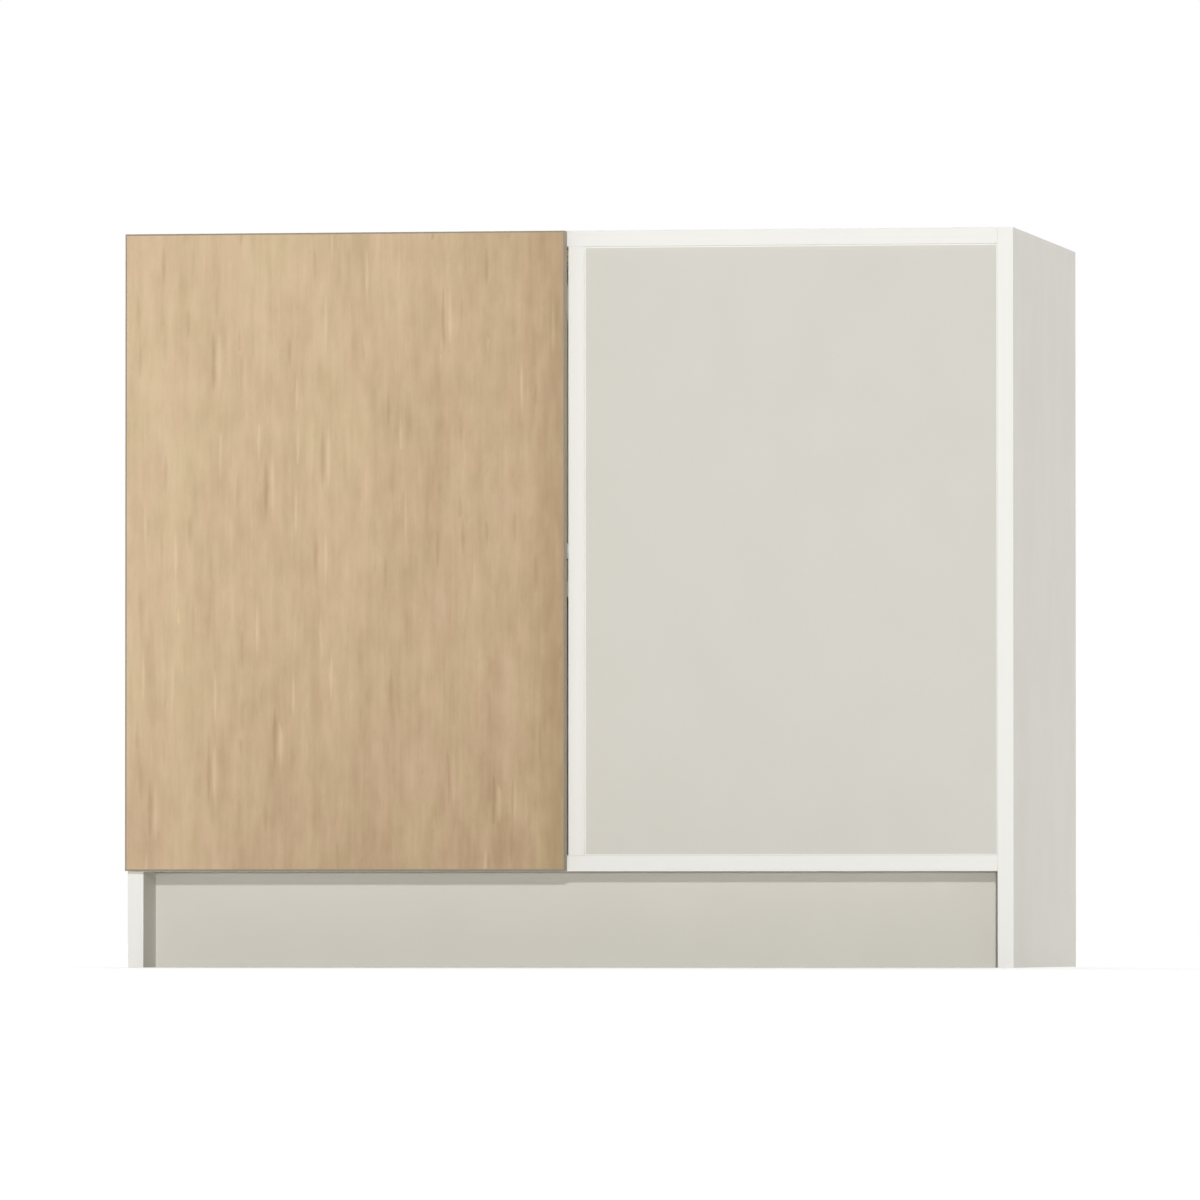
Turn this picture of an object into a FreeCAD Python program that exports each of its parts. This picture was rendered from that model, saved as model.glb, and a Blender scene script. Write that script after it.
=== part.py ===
import FreeCAD, Part
import math
import os
from FreeCAD import Vector

# Blind corner base cabinet, frameless, in millimetres.
# X runs along the front to the right, Y from the door towards the wall, Z up.
# The origin is on the floor, under the middle of the cabinet.

inch = 25.4

# Overall sizes
cabinet_width = 42.0 * inch
cabinet_height = 34.5 * inch
overall_depth = 24.0 * inch
toe_kick_height = 4.5 * inch
toe_kick_recess = 3.0 * inch
door_bay_width = 21.0 * inch

# Boards and edge bands
board = 0.75 * inch
back_thickness = 0.25 * inch
stretcher_depth = 4.0 * inch
stile_depth = 4.0 * inch
hang_rail_height = 4.0 * inch
base_rail_setback = 2.0 * inch
carcass_band = 1.0
band_arris = 0.5
blind_recess = 3.2
blind_band = 1.5

# Back panel housing
groove_depth = 6.0
groove_play = 0.2

# Door
door_thickness = 0.75 * inch
door_gap = 3.0
door_reveal = 0.8
door_band = 2.0
door_arris = 1.0
bumper_radius = 4.0
bumper_play = 0.1
bumper_inset = 24.0

# Shelf on pins
shelf_depth = 16.0 * inch
shelf_underside = 17.5 * inch
shelf_play = 1.0
pin_pitch = 32.0
pin_hole_count_each_way = 2
pin_hole_radius = 2.5
pin_hole_depth = 11.0
pin_play = 0.05
pin_length = 9.0
pin_drop = 7.0
pin_row_inset = 50.0
pin_plate_height = 13.0
pin_plate_width = 12.0
pin_plate_thickness = 1.6
pin_ledge_length = 11.0
pin_ledge_thickness = 2.0

# Dowels, cam locks and their bolts
dowel_radius = 3.9
dowel_play = 0.1
dowel_in_face = 12.0
dowel_in_end = 18.0
dowel_pitch = 32.0
dowel_edge = 25.0
deck_joint_inset = 2.5 * inch
cam_radius = 7.4
cam_height = 13.0
cam_play = 0.1
cam_backset = 34.0
cam_slot_depth = 2.5
cam_slot_width = 1.6
cam_slot_length = 9.0
bolt_shank_radius = 2.5
bolt_head_radius = 3.5
bolt_head_length = 4.0
bolt_thread_length = 11.0

# Holes for the installer's screws
wall_screw_spacing = 32.0 * inch
wall_screw_radius = 2.75
worktop_screw_spacing = 24.0 * inch
worktop_screw_radius = 2.5

# Angle brackets that hold the blind panel
bracket_leg = 26.0
bracket_width = 18.0
bracket_thickness = 1.6
bracket_inset = 6.0 * inch
bracket_hole = 16.0
bracket_screw_radius = 1.9
bracket_head_radius = 3.8
bracket_screw_length = 14.0

# Screws, pegs and running fits
peg_side_count = 6
round_side_count = 8
fine_side_count = 16
screw_play = 0.1
screw_head_height = 1.6
pivot_play = 0.05

# Concealed hinges
hinge_inset = 3.5 * inch
cup_radius = 17.5
cup_edge = 5.0
cup_depth = 12.5
cup_wall = 0.8
cup_cheek = 8.5
cup_lug_inner = 3.0
cup_lug_outer = 4.0
cup_lug_radius = 2.6
cup_flange_thickness = 0.8
cup_flange_rim = 18.2
cup_screw_spacing = 45.0
cup_screw_offset = 9.5
cup_ear_radius = 6.5
cup_screw_radius = 1.7
cup_head_radius = 3.4
cup_screw_length = 11.0
plate_setback = 37.0
plate_screw_spacing = 32.0
plate_wing_radius = 8.0
plate_thickness = 2.5
plate_half_height = 8.0
plate_reach = 22.0
plate_screw_radius = 2.4
plate_head_radius = 4.3
plate_screw_length = 12.0
rib_half_height = 4.6
arm_rise = 11.95
arm_sheet = 1.2
arm_bend_radius = 0.7
arm_length = 66.0
arm_web_start = 18.0
arm_foot = 4.5
arm_cheek_inner = 5.5
arm_cheek_outer = 6.5
arm_nose_half_width = 2.3
arm_neck_half_width = 3.6
adjuster_radius = 2.4
adjuster_head_radius = 3.6
adjuster_depth = 8.0
adjuster_setbacks = (29.0, 53.0)
inner_link_half_height = 2.8
outer_link_inner = 4.3
outer_link_outer = 5.2
link_half_width = 2.3
inner_link_bow = 11.0
outer_link_bow = 2.2
pivot_pin_radius = 1.3
outer_pin_half_length = 8.2

# Hinge pivots. The arm's two are measured from the side's inner face and the carcass front,
# the cup's two from the door's edge and the door's rear face, outwards from the carcass.
arm_inner_pivot = (16.95, -9.87)
arm_outer_pivot = (16.95, 8.88)
cup_inner_pivot = (11.545, 5.034)
cup_outer_pivot = (17.295, 2.716)

# Push latch
latch_width = 14.0
latch_height = 18.0
latch_length = 58.0
latch_corner_radius = 3.0
latch_front = 2.2
latch_bore_depth = 52.0
latch_ear_height = 18.0
latch_ear_length = 18.0
latch_ear_thickness = 3.0
latch_ear_setback = 20.0
latch_ear_screw = 13.5
latch_ear_corner = 4.0
latch_screw_radius = 1.7
latch_head_radius = 3.4
latch_screw_length = 14.0
plunger_radius = 4.0
plunger_play = 0.1
plunger_length = 50.0
magnet_length = 3.0
strike_radius = 6.5
strike_thickness = 1.2
strike_head_radius = 2.6
strike_head_height = 0.7
strike_screw_radius = 1.5
strike_screw_length = 12.0
strike_play = 0.1

# Planes that the pieces share
x_left = -cabinet_width / 2
x_right = cabinet_width / 2
x_left_in = x_left + board
x_right_in = x_right - board
x_stile = x_left + door_bay_width
x_stile_right = x_stile + board
y_door = -overall_depth / 2
y_door_rear = y_door + door_thickness
y_front = y_door_rear + door_gap
y_core = y_front + carcass_band
y_back = overall_depth / 2
y_back_rear = y_back - board
y_back_front = y_back_rear - back_thickness
z_deck = toe_kick_height
z_deck_top = z_deck + board
z_top = cabinet_height
z_stretcher = z_top - board
y_toe_kick = y_front + toe_kick_recess
y_base_rail = y_back - base_rail_setback - board
y_shelf_back = y_back_front - shelf_play
y_shelf = y_shelf_back - shelf_depth
z_pin = shelf_underside - pin_drop
x_door_left = x_left + door_reveal
x_door_right = x_stile - door_reveal
z_door_low = z_deck + door_reveal
z_door_high = z_top - door_reveal
y_blind = y_front + blind_recess
y_blind_rear = y_blind + board
hinge_heights = (z_door_low + hinge_inset, z_door_high - hinge_inset)
x_cup = x_door_left + cup_edge + cup_radius
z_latch = (z_deck_top + z_stretcher) / 2
x_latch = x_stile - latch_width / 2
y_strike = y_door_rear + strike_thickness
y_plunger = y_strike + strike_play
y_housing = y_front + latch_front


def block(x0, x1, y0, y1, z0, z1):
    """A box between two values on each axis."""
    corner = Vector(min(x0, x1), min(y0, y1), min(z0, z1))
    return Part.makeBox(abs(x1 - x0), abs(y1 - y0), abs(z1 - z0), corner)


def rod(radius, start, end):
    """A round bar between two points."""
    run = end - start
    return Part.makeCylinder(radius, run.Length, start, run)


def peg(radius, start, end, side_count=peg_side_count):
    """A slim round piece or its hole, drawn with flat sides, because there are so many of them."""
    run = end - start
    ahead = Vector(run).normalize()
    upright = abs(ahead.z) > abs(ahead.x) + abs(ahead.y)
    first = Vector(1, 0, 0) if upright else Vector(0, 0, 1)
    second = ahead.cross(first)
    turns = [math.pi * (2 * count + 1) / side_count for count in range(side_count)]
    ring = [start + first * (radius * math.cos(turn)) + second * (radius * math.sin(turn)) for turn in turns]
    return Part.Face(Part.makePolygon(ring + ring[:1])).extrude(run)


def running_hole(radius, start, end):
    """A hole drawn with flat sides that all stand the radius off its axis, so that a pin can turn in it."""
    return peg(radius / math.cos(math.pi / round_side_count), start, end, round_side_count)


def drilled(shape, cutters):
    """The shape with every cutter that reaches it taken away."""
    near = [cutter for cutter in cutters if cutter.BoundBox.intersect(shape.BoundBox)]
    if near:
        shape = shape.cut(near)
    return shape


def joined(first, others):
    """Several overlapping shapes as one solid with clean faces."""
    return first.fuse(others).removeSplitter()


def rounded(shape, radius, chosen):
    """The shape with the edges that the test picks rounded."""
    return shape.makeFillet(radius, [edge for edge in shape.Edges if chosen(edge)])


def runs_along(edge, axis):
    """Whether a straight edge lies along one axis, 0 to 2."""
    run = edge.Vertexes[-1].Point - edge.Vertexes[0].Point
    return math.isclose(abs(run[axis]), run.Length)


def bar(start, end, bow, half_width, z0, z1):
    """A flat bar with round ends between two plan points, bowed to the left of its run from above."""
    chord = end - start
    side = Vector(-chord.y, chord.x, 0).normalize()
    if bow == 0:
        ahead = Vector(chord).normalize() * half_width
        side = side * half_width
        edges = [Part.LineSegment(start + side, end + side),
                 Part.Arc(end + side, end + ahead, end - side),
                 Part.LineSegment(end - side, start - side),
                 Part.Arc(start - side, start - ahead, start + side)]
    else:
        radius = (chord.Length ** 2 / 4 + bow ** 2) / (2 * bow)
        centre = (start + end) / 2 + side * (bow - radius)
        out_start = (start - centre).normalize() * half_width
        out_end = (end - centre).normalize() * half_width
        crown = side * half_width
        middle = centre + side * radius
        past_start = Vector(-out_start.y, out_start.x, 0)
        past_end = Vector(out_end.y, -out_end.x, 0)
        if past_end.dot(end - middle) < 0:
            past_start = -past_start
            past_end = -past_end
        edges = [Part.Arc(start + out_start, middle + crown, end + out_end),
                 Part.Arc(end + out_end, end + past_end, end - out_end),
                 Part.Arc(end - out_end, middle - crown, start - out_start),
                 Part.Arc(start - out_start, start + past_start, start + out_start)]
    face = Part.Face(Part.Wire([edge.toShape() for edge in edges]))
    face.translate(Vector(0, 0, z0))
    return face.extrude(Vector(0, 0, z1 - z0))


def screw(seat, into, shank_radius, length, head_radius, head_height):
    """A screw whose head stands on its seat and whose shank runs into the work."""
    into = Vector(into).normalize()
    head = peg(head_radius, seat - into * head_height, seat)
    shank = peg(shank_radius, seat - into * head_height, seat + into * length)
    return joined(head, [shank])


def pilot(seat, into, shank_radius, length):
    """The hole that a screw needs, from just before its seat to just past its tip."""
    into = Vector(into).normalize()
    return peg(shank_radius + screw_play, seat - into * screw_play, seat + into * (length + screw_play))


nodes = {}


# Dowels: where two boards meet, half in one board's face and half in the other's end
def dowel_pair(point, into_face):
    """A dowel and its hole at a point on the joint, with the direction into the face."""
    into_face = Vector(into_face)
    outer = point + into_face * dowel_in_face
    inner = point - into_face * dowel_in_end
    dowels.append(peg(dowel_radius, outer, inner))
    dowel_holes.append(peg(dowel_radius + dowel_play, outer + into_face * dowel_play,
                           inner - into_face * dowel_play))


dowels = []
dowel_holes = []
y_front_stretcher = y_core + stretcher_depth / 2
y_rear_stretcher = y_back_front - stretcher_depth / 2
deck_joints = (y_core + deck_joint_inset, y_back_front - deck_joint_inset)
deck_dowels = (deck_joints[0] + dowel_pitch, deck_joints[1] - dowel_pitch)
z_deck_middle = z_deck + board / 2
z_stretcher_middle = z_stretcher + board / 2
base_dowel_heights = (dowel_edge, z_deck - dowel_edge)

side_dowels = [(y, z_deck_middle) for y in deck_dowels]
for y_middle in (y_front_stretcher, y_rear_stretcher):
    side_dowels += [(y_middle + step, z_stretcher_middle) for step in (-dowel_pitch, dowel_pitch)]
for y_rail in (y_toe_kick, y_base_rail):
    side_dowels += [(y_rail + board / 2, z) for z in base_dowel_heights]
for z_rail in (z_deck_top, z_top - hang_rail_height):
    for z in (z_rail + dowel_edge, z_rail + hang_rail_height - dowel_edge):
        side_dowels.append((y_back - board / 2, z))
for x_face, outward in ((x_left_in, -1), (x_right_in, 1)):
    for y, z in side_dowels:
        dowel_pair(Vector(x_face, y, z), (outward, 0, 0))

x_stile_middle = x_stile + board / 2
for y in (y_core + dowel_edge, y_core + stile_depth - dowel_edge):
    dowel_pair(Vector(x_stile_middle, y, z_deck_top), (0, 0, -1))
    dowel_pair(Vector(x_stile_middle, y, z_stretcher), (0, 0, 1))
for z in base_dowel_heights:
    dowel_pair(Vector(x_stile_middle, y_toe_kick + board, z), (0, -1, 0))
    dowel_pair(Vector(x_stile_middle, y_base_rail, z), (0, 1, 0))
nodes["wood_dowels"] = Part.makeCompound(dowels)

# Cam locks in the undersides of the deck and stretchers, pulled onto bolts in the sides
cam_joints = [(y, z_deck) for y in deck_joints]
cam_joints += [(y_front_stretcher, z_stretcher), (y_rear_stretcher, z_stretcher)]
cams = []
bolts = []
cam_holes = []
for x_face, outward in ((x_left_in, -1), (x_right_in, 1)):
    out = Vector(outward, 0, 0)
    for y, z_under in cam_joints:
        axis_point = Vector(x_face, y, z_under + board / 2)
        cam_base = Vector(x_face - outward * cam_backset, y, z_under)
        cam_top = cam_base + Vector(0, 0, cam_height)
        cam = peg(cam_radius, cam_base, cam_top, round_side_count)
        head_room = bolt_head_radius + cam_play
        slot = block(cam_base.x - outward * head_room, x_face, y - head_room, y + head_room,
                     axis_point.z - head_room, cam_top.z)
        cam = cam.cut(slot)
        half_slot = cam_slot_length / 2
        half_width = cam_slot_width / 2
        driver_slot = block(cam_base.x - half_slot, cam_base.x + half_slot, y - half_width, y + half_width,
                            z_under, z_under + cam_slot_depth)
        cams.append(cam.cut(driver_slot))
        bolt_end = Vector(cam_base.x, y, axis_point.z)
        shank = peg(bolt_shank_radius, bolt_end, axis_point + out * bolt_thread_length)
        head = peg(bolt_head_radius, bolt_end, bolt_end + out * bolt_head_length)
        bolts.append(joined(shank, [head]))
        cam_holes.append(peg(cam_radius + cam_play, cam_base, cam_top + Vector(0, 0, cam_play),
                             round_side_count))
        cam_holes.append(peg(bolt_head_radius + cam_play, bolt_end, axis_point))
        cam_holes.append(peg(bolt_shank_radius + cam_play, axis_point,
                             axis_point + out * (bolt_thread_length + cam_play)))
nodes["cam_locks"] = Part.makeCompound(cams)
nodes["cam_bolts"] = Part.makeCompound(bolts)

# Screw holes for the wall, through the back panel and the rail behind it, and for the worktop
rail_holes = []
back_holes = []
z_wall_screws = z_top - hang_rail_height / 2
for x in (-wall_screw_spacing / 2, wall_screw_spacing / 2):
    rail_mouth = Vector(x, y_back_rear, z_wall_screws)
    rail_holes.append(rod(wall_screw_radius, rail_mouth, Vector(x, y_back, z_wall_screws)))
    back_holes.append(running_hole(wall_screw_radius, Vector(x, y_back_front, z_wall_screws), rail_mouth))
worktop_holes = []
for x in (-worktop_screw_spacing / 2, worktop_screw_spacing / 2):
    for y in (y_front_stretcher, y_rear_stretcher):
        worktop_holes.append(rod(worktop_screw_radius, Vector(x, y, z_stretcher), Vector(x, y, z_top)))

# Angle brackets inside the blind panel's corners: one leg on the panel, one on the stile or the side
brackets = []
bracket_screws = []
bracket_holes = []
for x_face, inward in ((x_stile_right, 1), (x_right_in, -1)):
    for z in (z_deck_top + bracket_inset, z_stretcher - bracket_inset):
        low = z - bracket_width / 2
        high = z + bracket_width / 2
        on_board = block(x_face, x_face + inward * bracket_thickness,
                         y_blind_rear, y_blind_rear + bracket_leg, low, high)
        on_panel = block(x_face, x_face + inward * bracket_leg,
                         y_blind_rear, y_blind_rear + bracket_thickness, low, high)
        seats = ((Vector(x_face + inward * bracket_thickness, y_blind_rear + bracket_hole, z),
                  (-inward, 0, 0)),
                 (Vector(x_face + inward * bracket_hole, y_blind_rear + bracket_thickness, z),
                  (0, -1, 0)))
        holes = [pilot(seat, into, bracket_screw_radius, bracket_screw_length) for seat, into in seats]
        bracket_holes += holes
        brackets.append(joined(on_board, [on_panel]).cut(holes))
        bracket_screws += [screw(seat, into, bracket_screw_radius, bracket_screw_length,
                                 bracket_head_radius, screw_head_height) for seat, into in seats]
nodes["angle_brackets"] = Part.makeCompound(brackets)
nodes["bracket_screws"] = Part.makeCompound(bracket_screws)

# Shelf pins: a peg in the side's hole, a plate against the side and a ledge under the shelf
pin_rows = (y_shelf + pin_row_inset, y_shelf_back - pin_row_inset)
pin_holes = []
shelf_pins = []
for x_face, outward in ((x_left_in, -1), (x_right_in, 1)):
    for y in pin_rows:
        for count in range(-pin_hole_count_each_way, pin_hole_count_each_way + 1):
            mouth = Vector(x_face, y, z_pin + count * pin_pitch)
            end = mouth + Vector(outward * pin_hole_depth, 0, 0)
            pin_holes.append(peg(pin_hole_radius, mouth, end, round_side_count))
        seat = Vector(x_face, y, z_pin)
        stud = peg(pin_hole_radius - pin_play, seat - Vector(outward * pin_plate_thickness, 0, 0),
                   seat + Vector(outward * pin_length, 0, 0), round_side_count)
        half = pin_plate_width / 2
        plate = block(x_face, x_face - outward * pin_plate_thickness, y - half, y + half,
                      shelf_underside - pin_plate_height, shelf_underside)
        ledge = block(x_face, x_face - outward * pin_ledge_length, y - half, y + half,
                      shelf_underside - pin_ledge_thickness, shelf_underside)
        shelf_pins.append(joined(plate, [ledge, stud]))
nodes["shelf_pins"] = Part.makeCompound(shelf_pins)


# Concealed hinges
def arm_point(pivot):
    """Plan place of a pivot on the hinge arm."""
    return Vector(x_left_in + pivot[0], y_front - pivot[1], 0)


def cup_point(pivot):
    """Plan place of a pivot in the hinge cup, with the door shut."""
    return Vector(x_door_left + pivot[0], y_door_rear - pivot[1], 0)


def mirrored(height, low, high):
    """The two spans at one distance above and below the hinge's middle."""
    return ((height - high, height - low), (height + low, height + high))


pivot_a = arm_point(arm_inner_pivot)
pivot_c = arm_point(arm_outer_pivot)
pivot_b = cup_point(cup_inner_pivot)
pivot_d = cup_point(cup_outer_pivot)
pin_hole = pivot_pin_radius + pivot_play
up = Vector(0, 0, 1)
inwards = Vector(-1, 0, 0)
into_door = Vector(0, -1, 0)
x_web = x_left_in + arm_rise
y_plate = y_front + plate_setback
hinge_door_holes = []
hinge_side_holes = []
cup_screws = []
plate_screws = []
adjusters = []
arm_pins = []
cup_pins = []


def hinge_cup(z):
    """Pressed cup let into the door, with a flange, two screw ears and two lugs that hold a pin."""
    mouth = Vector(x_cup, y_door_rear, z)
    bottom = mouth + into_door * cup_depth
    face = mouth - into_door * cup_flange_thickness
    x_ear = x_cup + cup_screw_offset
    ears = [Vector(x_ear, face.y, z + step) for step in (-cup_screw_spacing / 2, cup_screw_spacing / 2)]
    flange = rod(cup_flange_rim, face, mouth)
    flange_depth = into_door * cup_flange_thickness
    ear_plates = [peg(cup_ear_radius, ear, ear + flange_depth, fine_side_count) for ear in ears]
    strap = block(x_ear - cup_ear_radius, x_ear + cup_ear_radius, face.y, mouth.y, ears[0].z, ears[1].z)
    cup = joined(rod(cup_radius, mouth, bottom), [flange, strap] + ear_plates)
    cavity = rod(cup_radius - cup_wall, face, bottom - into_door * cup_wall)
    between = block(x_cup - cup_radius, x_cup + cup_radius, face.y, bottom.y, z - cup_cheek, z + cup_cheek)
    cup = cup.cut(cavity.common(between))
    lugs = []
    for low, high in mirrored(z, cup_lug_inner, cup_lug_outer):
        lugs.append(peg(cup_lug_radius, pivot_b + up * low, pivot_b + up * high, round_side_count))
        lugs.append(block(pivot_b.x - cup_lug_radius, pivot_b.x + cup_lug_radius, pivot_b.y, bottom.y,
                          low, high))
    pin_reach = up * cup_lug_outer
    pin_ends = (pivot_b + up * z - pin_reach, pivot_b + up * z + pin_reach)
    cup_pins.append(peg(pivot_pin_radius, *pin_ends, round_side_count))
    holes = [peg(pin_hole, *pin_ends, round_side_count)]
    for ear in ears:
        holes.append(pilot(ear, into_door, cup_screw_radius, cup_screw_length))
        cup_screws.append(screw(ear, into_door, cup_screw_radius, cup_screw_length,
                                cup_head_radius, screw_head_height))
        hinge_door_holes.append(pilot(ear, into_door, cup_screw_radius, cup_screw_length))
    hinge_door_holes.append(rod(cup_radius + pivot_play, mouth, bottom + into_door * pivot_play))
    return joined(cup, lugs).cut(holes)


def hinge_plate(z):
    """Winged mounting plate on the side, with the rib that carries the arm."""
    reach = plate_reach
    base = block(x_left_in, x_left_in + plate_thickness, y_plate - reach, y_plate + reach,
                 z - plate_half_height, z + plate_half_height)
    wing = block(x_left_in, x_left_in + plate_thickness, y_plate - plate_wing_radius,
                 y_plate + plate_wing_radius, z - plate_screw_spacing / 2, z + plate_screw_spacing / 2)
    pieces = [wing, block(x_left_in, x_web, y_plate - reach, y_plate + reach,
                          z - rib_half_height, z + rib_half_height)]
    holes = []
    for step in (-plate_screw_spacing / 2, plate_screw_spacing / 2):
        seat = Vector(x_left_in + plate_thickness, y_plate, z + step)
        pieces.append(peg(plate_wing_radius, seat + inwards * plate_thickness, seat, fine_side_count))
        holes.append(pilot(seat, inwards, plate_screw_radius, plate_screw_length))
        plate_screws.append(screw(seat, inwards, plate_screw_radius, plate_screw_length,
                                  plate_head_radius, screw_head_height))
    hinge_side_holes.extend(holes)
    for setback in adjuster_setbacks:
        seat = Vector(x_web + arm_sheet, y_front + setback, z)
        holes.append(pilot(seat, inwards, adjuster_radius, adjuster_depth))
    return joined(base, pieces).cut(holes)


def hinge_arm(z):
    """Channel over the plate's rib, with two cheeks that reach forward to the pivots."""
    y_rear = y_front + arm_length
    y_web = y_front + arm_web_start
    x_foot = x_left_in + arm_foot
    x_outer = x_web + arm_sheet
    neck = Vector((x_foot + x_outer) / 2, y_web, 0)
    channel = block(x_foot, x_outer, y_web, y_rear, z - arm_cheek_outer, z + arm_cheek_outer)
    channel = rounded(channel, arm_bend_radius,
                      lambda edge: runs_along(edge, 1) and edge.BoundBox.Center.x > neck.x)
    channel = channel.cut(block(x_foot, x_web, y_web, y_rear, z - arm_cheek_inner, z + arm_cheek_inner))
    cheeks = []
    for low, high in mirrored(z, arm_cheek_inner, arm_cheek_outer):
        cheeks.append(bar(neck, pivot_a, 0, arm_neck_half_width, low, high))
        cheeks.append(bar(pivot_a, pivot_c, 0, arm_nose_half_width, low, high))
    reach = up * (arm_cheek_outer + pivot_play)
    holes = [peg(pin_hole, pivot + up * z - reach, pivot + up * z + reach, round_side_count)
             for pivot in (pivot_a, pivot_c)]
    for setback in adjuster_setbacks:
        seat = Vector(x_outer, y_front + setback, z)
        holes.append(pilot(seat, inwards, adjuster_radius, adjuster_depth))
        adjusters.append(screw(seat, inwards, adjuster_radius, adjuster_depth,
                               adjuster_head_radius, screw_head_height))
    arm_pins.append(peg(pivot_pin_radius, pivot_a + up * (z - arm_cheek_outer),
                        pivot_a + up * (z + arm_cheek_outer), round_side_count))
    for low, high in mirrored(z, outer_link_inner, arm_cheek_outer):
        arm_pins.append(peg(pivot_pin_radius, pivot_c + up * low, pivot_c + up * high, round_side_count))
    return joined(channel, cheeks).cut(holes)


def inner_link(z):
    """Gooseneck link from the arm's rear pivot round the door's edge to the cup's pin."""
    low = z - inner_link_half_height
    high = z + inner_link_half_height
    holes = [running_hole(pin_hole, pivot + up * low, pivot + up * high) for pivot in (pivot_a, pivot_b)]
    return bar(pivot_a, pivot_b, inner_link_bow, link_half_width, low, high).cut(holes)


def outer_link(z):
    """Pair of slim bars from the arm's front pivot, each with a stub that floats in the cup."""
    bars = []
    for low, high in mirrored(z, outer_link_inner, outer_link_outer):
        strip = bar(pivot_c, pivot_d, outer_link_bow, link_half_width, low, high)
        stub_low = low if low > z else z - outer_pin_half_length
        stub_high = high if low < z else z + outer_pin_half_length
        stub = peg(pivot_pin_radius, pivot_d + up * stub_low, pivot_d + up * stub_high)
        hole = running_hole(pin_hole, pivot_c + up * low, pivot_c + up * high)
        bars.append(joined(strip, [stub]).cut(hole))
    return bars


nodes["hinge_cups"] = Part.makeCompound([hinge_cup(z) for z in hinge_heights])
nodes["hinge_plates"] = Part.makeCompound([hinge_plate(z) for z in hinge_heights])
nodes["hinge_arms"] = Part.makeCompound([hinge_arm(z) for z in hinge_heights])
nodes["hinge_inner_links"] = Part.makeCompound([inner_link(z) for z in hinge_heights])
nodes["hinge_outer_links"] = Part.makeCompound([strip for z in hinge_heights for strip in outer_link(z)])
nodes["hinge_cup_screws"] = Part.makeCompound(cup_screws)
nodes["hinge_plate_screws"] = Part.makeCompound(plate_screws)
nodes["hinge_adjusters"] = Part.makeCompound(adjusters)
nodes["hinge_arm_pins"] = Part.makeCompound(arm_pins)
nodes["hinge_cup_pins"] = Part.makeCompound(cup_pins)

# Push latch on the stile: a housing with ears, a sprung plunger with a magnet, a strike on the door
bore_mouth = Vector(x_latch, y_housing, z_latch)
along = Vector(0, 1, 0)
housing = block(x_stile - latch_width, x_stile, y_housing, y_housing + latch_length,
                z_latch - latch_height / 2, z_latch + latch_height / 2)
housing = rounded(housing, latch_corner_radius,
                  lambda edge: runs_along(edge, 1) and edge.BoundBox.XMin < x_stile - latch_width / 2)
y_ear = y_front + latch_ear_setback
ear = block(x_stile - latch_ear_thickness, x_stile, y_ear, y_ear + latch_ear_length,
            z_latch - latch_ear_height, z_latch + latch_ear_height)
ear = ear.makeChamfer(latch_ear_corner, [edge for edge in ear.Edges if runs_along(edge, 0)])
latch_bore = running_hole(plunger_radius + plunger_play, bore_mouth, bore_mouth + along * latch_bore_depth)
latch_pilots = []
latch_screws = []
for step in (-latch_ear_screw, latch_ear_screw):
    seat = Vector(x_stile - latch_ear_thickness, y_ear + latch_ear_length / 2, z_latch + step)
    latch_pilots.append(pilot(seat, -inwards, latch_screw_radius, latch_screw_length))
    latch_screws.append(screw(seat, -inwards, latch_screw_radius, latch_screw_length,
                              latch_head_radius, screw_head_height))
nodes["latch_housing"] = joined(housing, [ear]).cut([latch_bore] + latch_pilots)
nodes["latch_screws"] = Part.makeCompound(latch_screws)
tip = Vector(x_latch, y_plunger, z_latch)
magnet_end = tip + along * magnet_length
nodes["latch_magnet"] = peg(plunger_radius, tip, magnet_end, fine_side_count)
nodes["latch_plunger"] = peg(plunger_radius, magnet_end, tip + along * plunger_length, fine_side_count)
strike_base = Vector(x_latch, y_door_rear, z_latch)
strike_seat = strike_base + along * (strike_thickness - strike_head_height)
strike_pilot = pilot(strike_seat, into_door, strike_screw_radius, strike_screw_length)
strike = peg(strike_radius, strike_base, strike_base + along * strike_thickness, round_side_count)
sunk = peg(strike_head_radius + screw_play, strike_seat, strike_base + along * strike_thickness)
nodes["latch_strike"] = strike.cut([strike_pilot, sunk])
nodes["strike_screw"] = screw(strike_seat, into_door, strike_screw_radius, strike_screw_length,
                              strike_head_radius, strike_head_height)

# Sides, from the floor to the top, grooved for the back panel
back_groove_sides = block(x_left_in - groove_depth, x_right_in + groove_depth,
                          y_back_front - groove_play, y_back_rear + groove_play,
                          z_deck_top - groove_depth, z_top)
side_cuts = [back_groove_sides] + dowel_holes + cam_holes + pin_holes + bracket_holes + hinge_side_holes
nodes["left_side"] = drilled(block(x_left, x_left_in, y_core, y_back, 0, z_top), side_cuts)
nodes["right_side"] = drilled(block(x_right_in, x_right, y_core, y_back, 0, z_top), side_cuts)

# Deck, stretchers and stile
board_cuts = dowel_holes + cam_holes
back_groove_deck = block(x_left_in, x_right_in, y_back_front - groove_play, y_back_rear + groove_play,
                         z_deck_top - groove_depth, z_deck_top)
nodes["bottom_deck"] = drilled(block(x_left_in, x_right_in, y_core, y_back, z_deck, z_deck_top),
                               board_cuts + [back_groove_deck])
front_stretcher = block(x_left_in, x_right_in, y_core, y_core + stretcher_depth, z_stretcher, z_top)
nodes["front_stretcher"] = drilled(front_stretcher, board_cuts + worktop_holes)
rear_stretcher = block(x_left_in, x_right_in, y_back_front - stretcher_depth, y_back_front,
                       z_stretcher, z_top)
nodes["rear_stretcher"] = drilled(rear_stretcher, board_cuts + worktop_holes)
stile = block(x_stile, x_stile_right, y_core, y_core + stile_depth, z_deck_top, z_stretcher)
nodes["centre_stile"] = drilled(stile, dowel_holes + bracket_holes + latch_pilots)

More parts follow.
